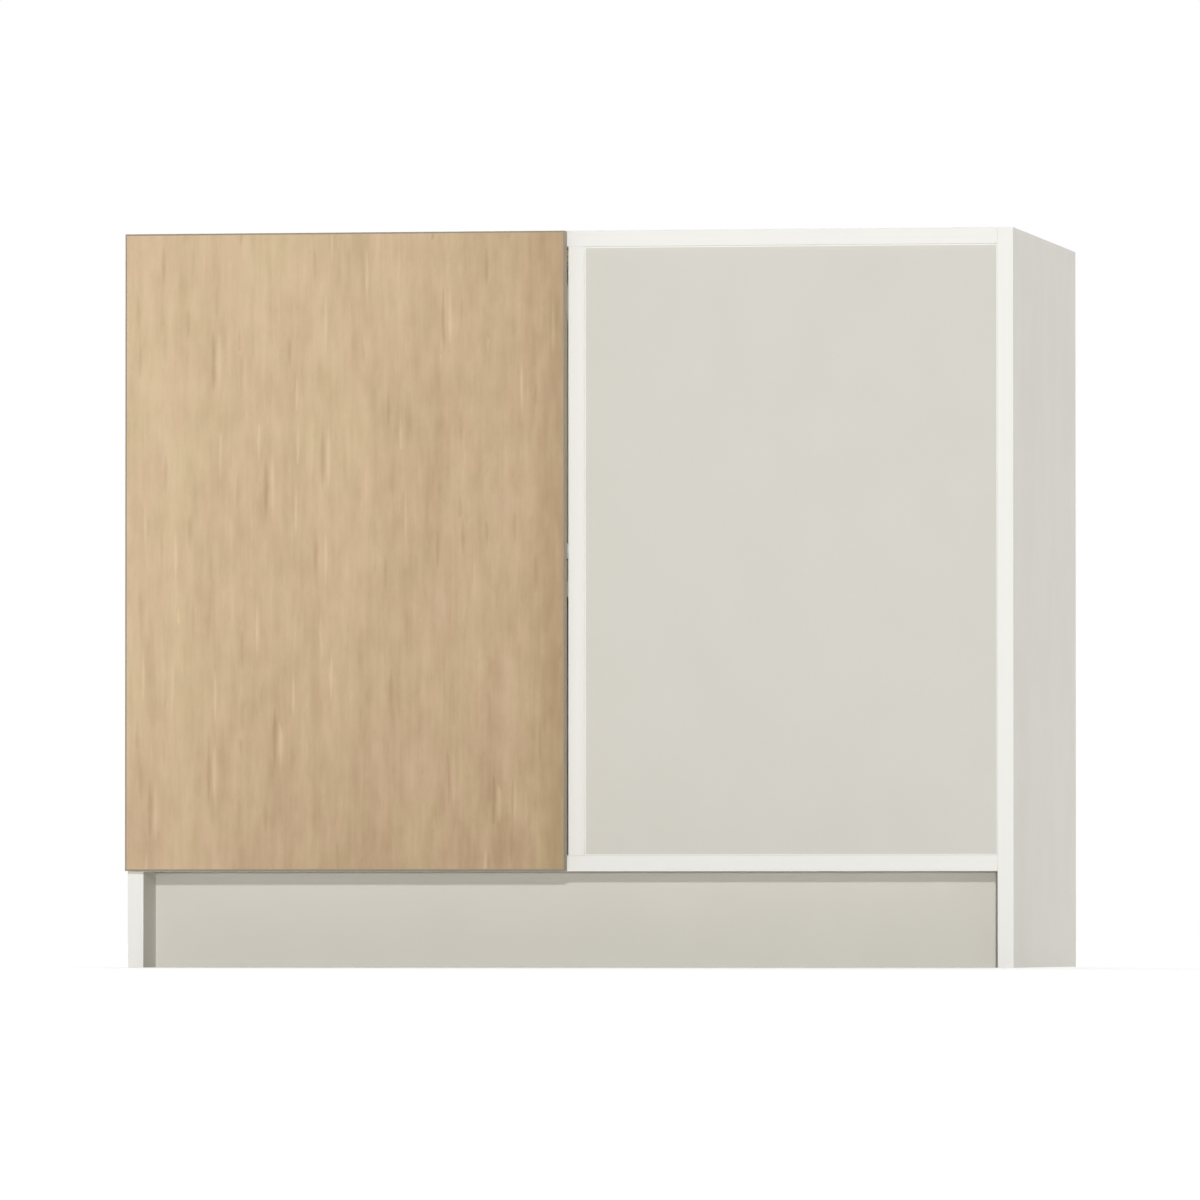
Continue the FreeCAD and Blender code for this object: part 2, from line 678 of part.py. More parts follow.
# Blind panel, let in between the stile and the right side, with its own thin band all round
blind_low = z_deck_top + blind_band
blind_high = z_stretcher - blind_band
blind_left = x_stile_right + blind_band
blind_right = x_right_in - blind_band
nodes["blind_panel"] = drilled(block(blind_left, blind_right, y_blind, y_blind_rear, blind_low, blind_high),
                               bracket_holes)
nodes["blind_panel_band"] = Part.makeCompound([
    block(x_stile_right, blind_left, y_blind, y_blind_rear, z_deck_top, z_stretcher),
    block(blind_right, x_right_in, y_blind, y_blind_rear, z_deck_top, z_stretcher),
    block(blind_left, blind_right, y_blind, y_blind_rear, z_deck_top, blind_low),
    block(blind_left, blind_right, y_blind, y_blind_rear, blind_high, z_stretcher)])

# Back panel in its grooves, and the rails behind it that take the wall screws
back_tongue = groove_depth - groove_play
back_panel = block(x_left_in - back_tongue, x_right_in + back_tongue, y_back_front, y_back_rear,
                   z_deck_top - back_tongue, z_top)
nodes["back_panel"] = drilled(back_panel, back_holes)
for name, z in (("lower", z_deck_top), ("upper", z_top - hang_rail_height)):
    rail = block(x_left_in, x_right_in, y_back_rear, y_back, z, z + hang_rail_height)
    nodes[name + "_hang_rail"] = drilled(rail, dowel_holes + rail_holes)

# Base: the toe kick, a rail at the rear and a joist between them under the stile
for name, y in (("toe_kick", y_toe_kick), ("rear_base_rail", y_base_rail)):
    nodes[name] = drilled(block(x_left_in, x_right_in, y, y + board, 0, z_deck), dowel_holes)
base_joist = block(x_stile, x_stile_right, y_toe_kick + board, y_base_rail, 0, z_deck)
nodes["base_joist"] = drilled(base_joist, dowel_holes)

# Shelf, loose on its pins
nodes["shelf"] = block(x_left_in + shelf_play, x_right_in - shelf_play, y_shelf + carcass_band, y_shelf_back,
                       shelf_underside, shelf_underside + board)


# Edge bands on the front edges of the carcass boards
def edge_band(x0, x1, y, z0, z1):
    """A thin strip glued to a board's front edge, with its two long front arrises scraped."""
    long_axis = 2 if z1 - z0 > x1 - x0 else 0
    strip = block(x0, x1, y, y + carcass_band, z0, z1)
    arrises = [edge for edge in strip.Edges if runs_along(edge, long_axis) and edge.BoundBox.Center.y == y]
    return strip.makeChamfer(band_arris, arrises)


nodes["left_side_band"] = edge_band(x_left, x_left_in, y_front, 0, z_top)
nodes["right_side_band"] = edge_band(x_right_in, x_right, y_front, 0, z_top)
nodes["deck_band"] = edge_band(x_left_in, x_right_in, y_front, z_deck, z_deck_top)
nodes["stretcher_band"] = edge_band(x_left_in, x_right_in, y_front, z_stretcher, z_top)
nodes["stile_band"] = edge_band(x_stile, x_stile_right, y_front, z_deck_top, z_stretcher)
nodes["shelf_band"] = edge_band(x_left_in + shelf_play, x_right_in - shelf_play, y_shelf,
                                shelf_underside, shelf_underside + board)

# Door: a flat panel with a thick band round its four edges
core_left = x_door_left + door_band
core_right = x_door_right - door_band
core_low = z_door_low + door_band
core_high = z_door_high - door_band
door_core = block(core_left, core_right, y_door, y_door_rear, core_low, core_high)
nodes["door_panel"] = drilled(door_core, hinge_door_holes + [strike_pilot])


def door_strip(x0, x1, z0, z1):
    """One strip of the door's band, with its outer arrises rounded front and rear."""
    strip = block(x0, x1, y_door, y_door_rear, z0, z1)
    if z1 - z0 > x1 - x0:
        outer = x_door_left if x0 == x_door_left else x_door_right
        return rounded(strip, door_arris, lambda edge: runs_along(edge, 2) and
                       abs(edge.BoundBox.Center.x - outer) < door_arris / 2)
    outer = z_door_low if z0 == z_door_low else z_door_high
    return rounded(strip, door_arris, lambda edge: runs_along(edge, 0) and
                   abs(edge.BoundBox.Center.z - outer) < door_arris / 2)


nodes["door_edge_band"] = Part.makeCompound([
    door_strip(x_door_left, core_left, z_door_low, z_door_high),
    door_strip(core_right, x_door_right, z_door_low, z_door_high),
    door_strip(core_left, core_right, z_door_low, core_low),
    door_strip(core_left, core_right, core_high, z_door_high)])

# Soft bumpers behind the door's free corners
bumpers = []
for z in (z_deck_middle, z_stretcher_middle):
    seat = Vector(x_door_right - bumper_inset, y_door_rear, z)
    bumpers.append(peg(bumper_radius, seat, seat + along * (door_gap - bumper_play), round_side_count))
nodes["door_bumpers"] = Part.makeCompound(bumpers)

os.makedirs("parts", exist_ok=True)
for name, shape in nodes.items():
    shape.exportStep("parts/" + name + ".step")
print(len(nodes), "pieces")
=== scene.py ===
import bpy
import numpy as np
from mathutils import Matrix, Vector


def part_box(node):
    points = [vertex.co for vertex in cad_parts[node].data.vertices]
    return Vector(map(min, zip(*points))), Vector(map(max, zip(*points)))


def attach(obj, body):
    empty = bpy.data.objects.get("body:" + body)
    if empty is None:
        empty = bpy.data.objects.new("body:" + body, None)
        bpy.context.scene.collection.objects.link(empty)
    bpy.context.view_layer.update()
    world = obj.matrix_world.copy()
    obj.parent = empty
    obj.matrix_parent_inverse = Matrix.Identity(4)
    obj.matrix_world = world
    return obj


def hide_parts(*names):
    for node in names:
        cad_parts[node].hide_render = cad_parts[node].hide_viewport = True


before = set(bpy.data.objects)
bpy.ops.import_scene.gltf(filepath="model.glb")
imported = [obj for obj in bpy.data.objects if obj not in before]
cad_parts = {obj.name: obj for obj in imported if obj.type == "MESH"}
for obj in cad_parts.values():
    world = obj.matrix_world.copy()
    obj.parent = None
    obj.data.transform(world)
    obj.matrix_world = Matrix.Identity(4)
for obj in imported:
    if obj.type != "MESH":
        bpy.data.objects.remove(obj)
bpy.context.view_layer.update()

# Carcass boards
# Chipboard with a melamine sheet pressed onto both faces, sawn to size and drilled by machine.
# The glued wood chips of the core show where the sheet ends: on edges with no band, in grooves and holes.
carcass_boards = (
    "left_side", "right_side", "bottom_deck", "front_stretcher", "rear_stretcher", "centre_stile",
    "blind_panel", "upper_hang_rail", "lower_hang_rail", "toe_kick", "rear_base_rail", "base_joist",
    "shelf",
)
# The faces' warm grey is painted shade: they are coloured darker than the white edge bands, as faces in
# shade.
painted_shade_grey, print_contrast = (213, 210, 201), 2
sheet_thickness, glue_line = 0.0003, 0.00018
sheet_shine, sheet_smooth, sheet_rough, core_rough = 0.35, 0.46, 0.56, 0.9
core_relief, sheet_relief_share = 0.0003, 0.12


def paint(red, green, blue):
    """A colour as a screen shows it, 0 to 255 a channel, as the linear light that a shader takes."""
    share = np.array((red, green, blue)) / 255
    linear = np.where(share <= 0.04045, share / 12.92, ((share + 0.055) / 1.055) ** 2.4)
    return (*linear.tolist(), 1.0)


def shade(colour, levels):
    """A screen colour made lighter by some levels, or darker by a negative number, as linear light."""
    return paint(*(level + levels for level in colour))


def place(tree, kind, sockets=None, **settings):
    """One new shader node in a tree; each socket, by name or number, gets a value or an output's link."""
    made = tree.nodes.new("ShaderNode" + kind)
    for name, value in settings.items():
        setattr(made, name, value)
    for name, value in (sockets or {}).items():
        if isinstance(value, bpy.types.NodeSocket):
            tree.links.new(value, made.inputs[name])
        else:
            made.inputs[name].default_value = value
    return made


def sums(tree, operation, first, second=0.0):
    """One arithmetic step between two values of a shader tree."""
    return place(tree, "Math", {0: first, 1: second}, operation=operation).outputs[0]


def vectors(tree, operation, first, second):
    """One arithmetic step between two vectors of a shader tree: its outputs, Vector and Value."""
    return place(tree, "VectorMath", {0: first, 1: second}, operation=operation).outputs


def mixed(tree, first, first_share, second, second_share):
    """Two values of a shader tree added up, each by its share."""
    scaled = sums(tree, "MULTIPLY", first, first_share)
    sockets = {0: second, 1: second_share, 2: scaled}
    return place(tree, "Math", sockets, operation="MULTIPLY_ADD").outputs[0]


def between(tree, value, low, high, start=0.0, end=1.0):
    """A soft step: start below low, end above high, and a smooth S from one to the other."""
    sockets = {"Value": value, "From Min": low, "From Max": high, "To Min": start, "To Max": end}
    return place(tree, "MapRange", sockets, interpolation_type="SMOOTHSTEP").outputs[0]


def blended(tree, share, first, second, way="MIX"):
    """A colour that goes from the first to the second as the share goes from 0 to 1."""
    sockets = {0: share, 6: first, 7: second}
    return place(tree, "Mix", sockets, data_type="RGBA", blend_type=way).outputs[2]


def noise(tree, where, steps, detail=2.0):
    """Cloudy noise, about 0.2 to 0.8; its patches are as long along x, y and z as the steps in metres."""
    scale = tuple(1 / step for step in steps)
    mapped = place(tree, "Mapping", {"Vector": where, "Scale": scale}).outputs[0]
    return place(tree, "TexNoise", {"Vector": mapped, "Scale": 1.0, "Detail": detail}).outputs[0]


def clouded(tree, cloud, start, end):
    """A value that goes from start to end as cloudy noise goes through the middle of its range."""
    cloud_low, cloud_high = 0.3, 0.7
    return between(tree, cloud, cloud_low, cloud_high, start, end)


def effect(name, inputs, outputs):
    """An empty node group with named sockets: its tree, its inputs and a call that sets an output."""
    tree = bpy.data.node_groups.new(name, "ShaderNodeTree")
    for socket, kind in inputs.items():
        tree.interface.new_socket(socket, in_out="INPUT", socket_type="NodeSocket" + kind)
    for socket, kind in outputs.items():
        tree.interface.new_socket(socket, in_out="OUTPUT", socket_type="NodeSocket" + kind)
    given = tree.nodes.new("NodeGroupInput").outputs
    result = tree.nodes.new("NodeGroupOutput").inputs
    return tree, given, lambda socket, value: tree.links.new(value, result[socket])


def finish_of(name, **sockets):
    """A material with one Principled shader: it, its tree, the shader and the place on the object."""
    material = bpy.data.materials.new(name)
    material.use_nodes = True
    tree = material.node_tree
    tree.nodes.clear()
    constants = {key.replace("_", " "): value for key, value in sockets.items()}
    shader = place(tree, "BsdfPrincipled", constants)
    place(tree, "OutputMaterial", {"Surface": shader.outputs[0]})
    return material, tree, shader, place(tree, "TexCoord").outputs["Object"]


def feed(tree, shader, socket, output):
    """Links a node's output to one of the shader's sockets."""
    tree.links.new(output, shader.inputs[socket])


def raised(tree, shader, height, distance):
    """Feeds a height between 0 and 1 to the shader's normal as relief of that depth in metres."""
    bump = place(tree, "Bump", {"Height": height, "Distance": distance, "Strength": 1.0})
    feed(tree, shader, "Normal", bump.outputs[0])


def dress(nodes, material):
    """Gives one finish to the named CAD nodes."""
    for name in nodes:
        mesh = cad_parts[name].data
        mesh.materials.clear()
        mesh.materials.append(material)


# The pressed sheet: a pearly relief about a millimetre across, a faint speckle and soft handling marks.
pearl_size, speckle_size = (0.0011, 0.0011, 0.0011), (0.0024, 0.0024, 0.0024)
drift_size, mark_size = (0.35, 0.35, 0.5), (0.07, 0.07, 0.11)
pressed_sheet, given, give = effect(
    "pressed_sheet", {"Place": "Vector"}, {"Tone": "Float", "Marks": "Float", "Height": "Float"})
speckle = noise(pressed_sheet, given["Place"], speckle_size, detail=4.0)
drift = noise(pressed_sheet, given["Place"], drift_size)
give("Tone", mixed(pressed_sheet, speckle, 0.6, drift, 0.4))
give("Marks", noise(pressed_sheet, given["Place"], mark_size, detail=4.0))
give("Height", noise(pressed_sheet, given["Place"], pearl_size, detail=3.0))

# The sawn core: flat chips a few millimetres long that lie along the board, coarse in its middle and fine
# under the sheet. The gaps between the coarse ones are dark brown: painted shade in the voids.
chip_length, chip_thickness, fine_chips_to_one = 0.0034, 0.0013, 3
fine_depth, coarse_depth = 0.002, 0.005
gap_start, gap_full = 0.55, 0.9
chip_dark, chip_light, void_shade_brown = paint(164, 128, 84), paint(216, 186, 142), paint(112, 82, 50)
sawn_core, given, give = effect(
    "sawn_core", {"Place": "Vector", "Through": "Vector", "Middle": "Float", "Half": "Float"},
    {"Core": "Float", "Color": "Color", "Height": "Float"})
through = vectors(sawn_core, "DOT_PRODUCT", given["Place"], given["Through"])["Value"]
off_middle = sums(sawn_core, "ABSOLUTE", sums(sawn_core, "SUBTRACT", through, given["Middle"]))
depth = sums(sawn_core, "SUBTRACT", given["Half"], off_middle)
squeeze = sums(sawn_core, "MULTIPLY", through, chip_length / chip_thickness - 1)
stretch = {0: given["Through"], "Scale": squeeze}
squeezed = place(sawn_core, "VectorMath", stretch, operation="SCALE").outputs["Vector"]
lying = vectors(sawn_core, "ADD", given["Place"], squeezed)["Vector"]
coarse = place(sawn_core, "TexVoronoi", {"Vector": lying, "Scale": 1 / chip_length}).outputs
fine = place(sawn_core, "TexVoronoi", {"Vector": lying, "Scale": fine_chips_to_one / chip_length}).outputs
inner = between(sawn_core, depth, fine_depth, coarse_depth)
chip = blended(sawn_core, inner, fine["Color"], coarse["Color"])
chip_tone = place(sawn_core, "SeparateColor", {0: chip}).outputs[0]
chips = blended(sawn_core, chip_tone, chip_dark, chip_light)
gaps = between(sawn_core, coarse["Distance"], gap_start, gap_full)
give("Core", between(sawn_core, depth, glue_line, sheet_thickness))
# Painted shade: the gaps between the coarse chips, sunk by the relief, are coloured dark brown.
give("Color", blended(sawn_core, sums(sawn_core, "MULTIPLY", gaps, inner), chips, void_shade_brown))
give("Height", sums(sawn_core, "SUBTRACT", chip_tone, gaps))

for board in carcass_boards:
    low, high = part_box(board)
    size = np.array(high) - np.array(low)
    thin = int(np.argmin(size))
    material, tree, shader, where = finish_of("melamine_" + board, Specular_IOR_Level=sheet_shine)
    sheet = place(tree, "Group", {"Place": where}, node_tree=pressed_sheet).outputs
    section = {
        "Place": where,
        "Through": tuple(np.eye(3)[thin]),
        "Middle": (low[thin] + high[thin]) / 2,
        "Half": size[thin] / 2,
    }
    core = place(tree, "Group", section, node_tree=sawn_core).outputs
    # The faces take the painted-shade grey, two print levels lighter or darker.
    darker, lighter = shade(painted_shade_grey, -print_contrast), shade(painted_shade_grey, print_contrast)
    face = blended(tree, sheet["Tone"], darker, lighter)
    feed(tree, shader, "Base Color", blended(tree, core["Core"], face, core["Color"]))
    gloss = clouded(tree, sheet["Marks"], sheet_smooth, sheet_rough)
    dulled = sums(tree, "MULTIPLY", core["Core"], core_rough)
    feed(tree, shader, "Roughness", sums(tree, "MAXIMUM", gloss, dulled))
    pearled = sums(tree, "MULTIPLY", sheet["Height"], sheet_relief_share)
    relief = place(tree, "Mix", {0: core["Core"], 2: pearled, 3: core["Height"]}).outputs[0]
    raised(tree, shader, relief, core_relief)
    dress([board], material)

# Beech dowels
# Fluted hardwood pegs eight millimetres thick, glued half into a board's face and half into another's end.
# They are pressed through a die that leaves the flutes for the glue, and their ends are chamfered.
dowel_chamfer, chamfered_share, end_share = 0.0015, 0.78, 0.4
dowel_flutes, points_per_flute, flute_dip = 20, 4, 0.035


def solids_of(node):
    """The points of each separate solid of a CAD node. Points at one place count as one. Every triangle
    hands its lowest label to its corners, over and over, until each solid has one label."""
    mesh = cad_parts[node].data
    points = np.empty(3 * len(mesh.vertices))
    mesh.vertices.foreach_get("co", points)
    corners = np.empty(len(mesh.loops), int)
    mesh.loops.foreach_get("vertex_index", corners)
    spots, place_of = np.unique(points.reshape(-1, 3).round(6), axis=0, return_inverse=True)
    triangles = place_of.reshape(-1)[corners].reshape(-1, 3)
    label = np.arange(len(spots))
    settled = False
    while not settled:
        spread = label.copy()
        np.minimum.at(spread, triangles, label[triangles].min(axis=1, keepdims=True))
        settled = np.array_equal(spread, label)
        label = spread
    return [spots[label == each] for each in np.unique(label)]


def long_axis(points):
    """The number of the axis along which a solid is longest."""
    return int(np.argmax(np.ptp(points, axis=0)))


def axis_of(points, axis):
    """How a round solid stands: the middle of its axis, a unit vector along it to its wider end, and each
    point's place along the axis and distance off it."""
    middle = (points.min(axis=0) + points.max(axis=0)) / 2
    out = np.eye(3)[axis]
    along = (points - middle) @ out
    off = np.linalg.norm(points - middle - along[:, None] * out, axis=1)
    if off[along > 0].max() < off[along < 0].max():
        out, along = -out, -along
    return middle, out, along, off


def turned(radius, height, turns=48):
    """Rings of a turned form: for each radius and height of the profile, points at even angles round it."""
    angle = np.linspace(0, 2 * np.pi, turns, endpoint=False)
    return radius[:, None] * np.cos(angle), radius[:, None] * np.sin(angle), height[:, None] + 0 * angle


def skin(rings, middle, out):
    """Points and faces of a closed skin over rings that run from the wide end to the other. Four-sided
    faces join each ring to the next, and the first and last close in a fan to a point in their middle."""
    across, sideways, along = rings
    first = np.roll(np.abs(out), 1)
    second = np.cross(out, first)
    grid = middle + across[..., None] * first + sideways[..., None] * second + along[..., None] * out
    rows, turns = across.shape
    points = np.concatenate([grid.reshape(-1, 3), grid[[0, -1]].mean(axis=1)])
    here = np.arange(rows * turns).reshape(rows, turns)
    after = np.roll(here, -1, axis=1)
    quads = np.stack([here[:-1], here[1:], after[1:], after[:-1]], axis=-1).reshape(-1, 4)
    top = np.stack([here[0], after[0], np.full(turns, rows * turns)], axis=-1)
    base = np.stack([after[-1], here[-1], np.full(turns, rows * turns + 1)], axis=-1)
    return points, quads, np.concatenate([top, base])


def stand_in(node, skins, body, material, sharp=40.0):
    """One object over several skins that stands for a CAD node, smooth but for edges past the angle."""
    points, quads, fans = zip(*skins)
    starts = np.cumsum([0] + [len(each) for each in points[:-1]])
    sides = np.concatenate([each + start for each, start in zip(quads, starts)])
    caps = np.concatenate([each + start for each, start in zip(fans, starts)])
    mesh = bpy.data.meshes.new(node + "_formed")
    mesh.from_pydata(np.concatenate(points).tolist(), [], sides.tolist() + caps.tolist())
    mesh.polygons.foreach_set("use_smooth", np.ones(len(mesh.polygons), bool))
    mesh.set_sharp_from_angle(angle=np.radians(sharp))
    mesh.materials.append(material)
    piece = bpy.data.objects.new(node + "_formed", mesh)
    bpy.context.scene.collection.objects.link(piece)
    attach(piece, body)
    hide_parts(node)


def fluted_dowel(points):
    """A peg whose radius dips in each flute by a share of the angle's cosine, chamfered at both ends."""
    middle, out, along, off = axis_of(points, long_axis(points))
    end, thick = along.max(), off.max()
    half_height = np.array([end, end, end - dowel_chamfer])
    half_radius = np.array([end_share, chamfered_share, 1.0]) * thick
    height = np.concatenate([half_height, -half_height[::-1]])
    radius = np.concatenate([half_radius, half_radius[::-1]])
    across, sideways, upward = turned(radius, height, dowel_flutes * points_per_flute)
    dip = flute_dip * (0.5 + 0.5 * np.cos(dowel_flutes * np.arctan2(sideways, across)))
    return skin((across * (1 - dip), sideways * (1 - dip), upward), middle, out)


ray_size, ray_relief = (0.0012, 0.0012, 0.006), 0.00005
beech_dark, beech_light = paint(196, 152, 108), paint(232, 200, 160)
material, tree, shader, where = finish_of("beech", Specular_IOR_Level=0.3, Roughness=0.65)
rays = noise(tree, where, ray_size, detail=3.0)
feed(tree, shader, "Base Color", blended(tree, rays, beech_dark, beech_light))
raised(tree, shader, rays, ray_relief)
dowels = [fluted_dowel(points) for points in solids_of("wood_dowels")]
stand_in("wood_dowels", dowels, "carcass", material)

# Cam locks, bolts and brackets
# Cast zinc cams turn in the undersides of the boards and pull on bolts in the sides. Pressed angle brackets
# hold the blind panel from behind with cross-head screws. The zinc is dull, its dark patches a little blue.
patch_size, rub_size, rub_relief = (0.006, 0.006, 0.006), (0.0004, 0.0004, 0.006), 0.00001
worn_metal, given, give = effect(
    "worn_metal", {"Place": "Vector"}, {"Tone": "Float", "Gloss": "Float", "Height": "Float"})
patches = noise(worn_metal, given["Place"], patch_size, detail=4.0)
rubbed = noise(worn_metal, given["Place"], rub_size, detail=3.0)
give("Tone", mixed(worn_metal, patches, 0.7, rubbed, 0.3))
give("Gloss", mixed(worn_metal, patches, 0.5, rubbed, 0.5))
give("Height", rubbed)


def metal(name, dark, light, smooth, rough):
    """A plated metal between two colours, its roughness between two values."""
    material, tree, shader, where = finish_of(name, Metallic=1.0)
    wear = place(tree, "Group", {"Place": where}, node_tree=worn_metal).outputs
    feed(tree, shader, "Base Color", blended(tree, wear["Tone"], paint(*dark), paint(*light)))
    feed(tree, shader, "Roughness", clouded(tree, wear["Gloss"], smooth, rough))
    raised(tree, shader, wear["Height"], rub_relief)
    return material


# Shares of a screw head's radius: its crown and rim, and the cross at its foot and mouth.
crown_start, crown_end, rim_start = 0.05, 0.82, 0.9
cross_foot, cross_mouth = 0.14, 0.20
cross_reach_foot, cross_reach_mouth = 0.52, 0.62
# Shares of the head's thickness: the fall of the crown, the fall of the rim and the depth of the cross.
crown_fall, rim_fall, cross_depth = 0.18, 0.55, 0.6
# Shares of the shank's radius: the point's length and taper, and the thread's depth.
point_length, point_taper, thread_depth = 1.6, 0.85, 0.24
# Shares of the pitch: half the thread's flat crest and the width of a flank.
crest_half, flank_width = 0.1, 1 / 3
# The bare shank under the head and what counts as close, in metres, and the turn from cross to cross.
thread_start, close_to, cross_turn_step = 0.0002, 0.0001, 2.4
crown_rings, rim_rings, rows_per_pitch = 18, 6, 6


def eased(value, low, high):
    """0 below low, 1 above high, and a smooth S between, for whole arrays."""
    share = np.clip((value - low) / (high - low), 0, 1)
    return share * share * (3 - 2 * share)


def cross_screw(points, turn, pitch):
    """A cross-head screw round its solid's axis. The head is a low dome with a rounded rim. The cross is
    let in where one coordinate is under the slot's half width and the other under its reach. The thread is
    a ridge whose height falls away from a line that climbs one pitch a turn, on a core that tapers to the
    tip."""
    middle, out, along, off = axis_of(points, long_axis(points))
    top, tip, head = along.max(), along.min(), off.max()
    shank = off[along < tip + close_to].max()
    seat = along[off > rim_start * head].min()
    thick = top - seat
    crown = np.linspace(crown_start, crown_end, crown_rings)
    rim = np.linspace(0, np.pi / 2, rim_rings)[1:]
    flat, fall = crown_end * head, crown_fall * thick
    head_radius = np.concatenate([crown * head, flat + (head - flat) * np.sin(rim), [head, shank]])
    crown_height = top - fall * (crown / crown_end) ** 2
    rim_height = top - fall - rim_fall * thick * (1 - np.cos(rim))
    head_height = np.concatenate([crown_height, rim_height, [seat, seat]])
    shank_height = np.linspace(seat, tip, int(rows_per_pitch * (seat - tip) / pitch))[1:]
    taper = 1 - point_taper * eased(shank_height, tip + point_length * shank, tip)
    radius = np.concatenate([head_radius, shank * taper])
    across, sideways, upward = turned(radius, np.concatenate([head_height, shank_height]))
    spun = np.arctan2(sideways, across) + turn
    reach = np.hypot(across, sideways)
    one, other = np.abs(reach * np.cos(spun)) / head, np.abs(reach * np.sin(spun)) / head
    narrow_one, narrow_other = (eased(-each, -cross_mouth, -cross_foot) for each in (one, other))
    short_one, short_other = (eased(-each, -cross_reach_mouth, -cross_reach_foot) for each in (one, other))
    cross = np.maximum(narrow_one * short_other, narrow_other * short_one)
    upward = upward - np.where(upward > seat, cross * cross_depth * thick, 0)
    phase = (upward / pitch - spun / (2 * np.pi)) % 1
    root = np.clip((np.abs(phase - 0.5) - crest_half) / flank_width, 0, 1)
    thread = np.where(upward < seat - thread_start, 1 - thread_depth * root, 1)
    return skin((across * thread, sideways * thread, upward), middle, out)


def cross_screws(node, body, material, pitch=0.0015):
    """Screws in place of a CAD node's solids, each one's cross left at an angle of its own."""
    solids = solids_of(node)
    turns = cross_turn_step * np.arange(len(solids))
    screws = [cross_screw(points, turn, pitch) for points, turn in zip(solids, turns)]
    stand_in(node, screws, body, material)


zinc = metal("zinc", dark=(168, 170, 172), light=(206, 207, 202), smooth=0.34, rough=0.55)
dress(["cam_locks", "cam_bolts", "angle_brackets"], zinc)
cross_screws("bracket_screws", "carcass", zinc)

# Back board
# A thin fibreboard slid into grooves in the sides and deck: grey lacquered towards the inside of the
# cabinet, with the bare pressed fibres and their screen pattern on the face towards the wall.
fibre_brown, fibre_contrast = (158, 123, 84), 15
fibre_size, cloud_size = (0.004, 0.004, 0.0012), (0.09, 0.09, 0.14)
fibre_share, cloud_share, press_low, press_high = 0.78, 0.22, 0.35, 0.65
lacquer_dark, lacquer_light = paint(208, 205, 196), paint(215, 212, 204)
lacquer_start, lacquer_end = 0.0002, 0.0004
lacquer_rough, bare_rough = 0.5, 0.85
screen_cells_per_metre, screen_relief = 480.0, 0.00025
low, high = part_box("back_panel")
material, tree, shader, where = finish_of("back_board", Specular_IOR_Level=0.3)
sheet = place(tree, "Group", {"Place": where}, node_tree=pressed_sheet).outputs
fibres = noise(tree, where, fibre_size, detail=5.0)
cloud = noise(tree, where, cloud_size, detail=3.0)
pressed = between(tree, mixed(tree, fibres, fibre_share, cloud, cloud_share), press_low, press_high)
bare = blended(tree, pressed, shade(fibre_brown, -fibre_contrast), shade(fibre_brown, fibre_contrast))
lacquer = blended(tree, sheet["Tone"], lacquer_dark, lacquer_light)
depth = place(tree, "SeparateXYZ", {0: where}).outputs["Y"]
bare_side = between(tree, depth, low.y + lacquer_start, low.y + lacquer_end)
feed(tree, shader, "Base Color", blended(tree, bare_side, lacquer, bare))
rougher = sums(tree, "MULTIPLY", bare_side, bare_rough - lacquer_rough)
feed(tree, shader, "Roughness", sums(tree, "ADD", rougher, lacquer_rough))
screen = place(tree, "TexVoronoi", {"Vector": where, "Scale": screen_cells_per_metre}).outputs["Distance"]
weave = sums(tree, "MULTIPLY", sums(tree, "ADD", screen, fibres), bare_side)
raised(tree, shader, weave, screen_relief)
dress(["back_panel"], material)

# White edge bands
# Off-white plastic strips about a millimetre thick, glued hot to the front edges of the boards and round
# the blind panel. Extruding them and scraping their arrises leave hair-fine lines along each strip.
white_bands = (
    "left_side_band", "right_side_band", "deck_band", "stretcher_band", "stile_band", "blind_panel_band",
    "shelf_band",
)
band_white, line_relief, line_stretch = (240, 239, 234), 0.00002, 0.012
hairs_per_metre, smears_per_metre = 2200.0, 260.0

drawn_lines, given, give = effect(
    "drawn_lines", {"Place": "Vector", "Along": "Vector"}, {"Tone": "Float", "Height": "Float"})
stretched = vectors(drawn_lines, "MULTIPLY", given["Place"], given["Along"])["Vector"]
fine_hair = {"Vector": stretched, "Scale": hairs_per_metre, "Detail": 2.0}
soft_smear = {"Vector": stretched, "Scale": smears_per_metre, "Detail": 3.0}
hair = place(drawn_lines, "TexNoise", fine_hair).outputs[0]
smear = place(drawn_lines, "TexNoise", soft_smear).outputs[0]
give("Tone", mixed(drawn_lines, hair, 0.4, smear, 0.6))
give("Height", hair)


def extruded(name, colour, darker, lighter, along, shine, smooth, rough):
    """A drawn plastic, from a colour made darker to it made lighter, in lines that the vector draws out."""
    material, tree, shader, where = finish_of(name, Specular_IOR_Level=shine)
    lines = place(tree, "Group", {"Place": where, "Along": along}, node_tree=drawn_lines).outputs
    colours = shade(colour, -darker), shade(colour, lighter)
    feed(tree, shader, "Base Color", blended(tree, lines["Tone"], *colours))
    feed(tree, shader, "Roughness", clouded(tree, lines["Tone"], smooth, rough))
    raised(tree, shader, lines["Height"], line_relief)
    return material


for band in white_bands:
    low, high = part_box(band)
    longest = np.argmax(np.array(high) - np.array(low))
    along = tuple(np.where(np.arange(3) == longest, line_stretch, 1.0))
    drawn = extruded(
        "white_" + band, band_white, darker=4, lighter=3, along=along, shine=0.4, smooth=0.34, rough=0.46)
    dress([band], drawn)

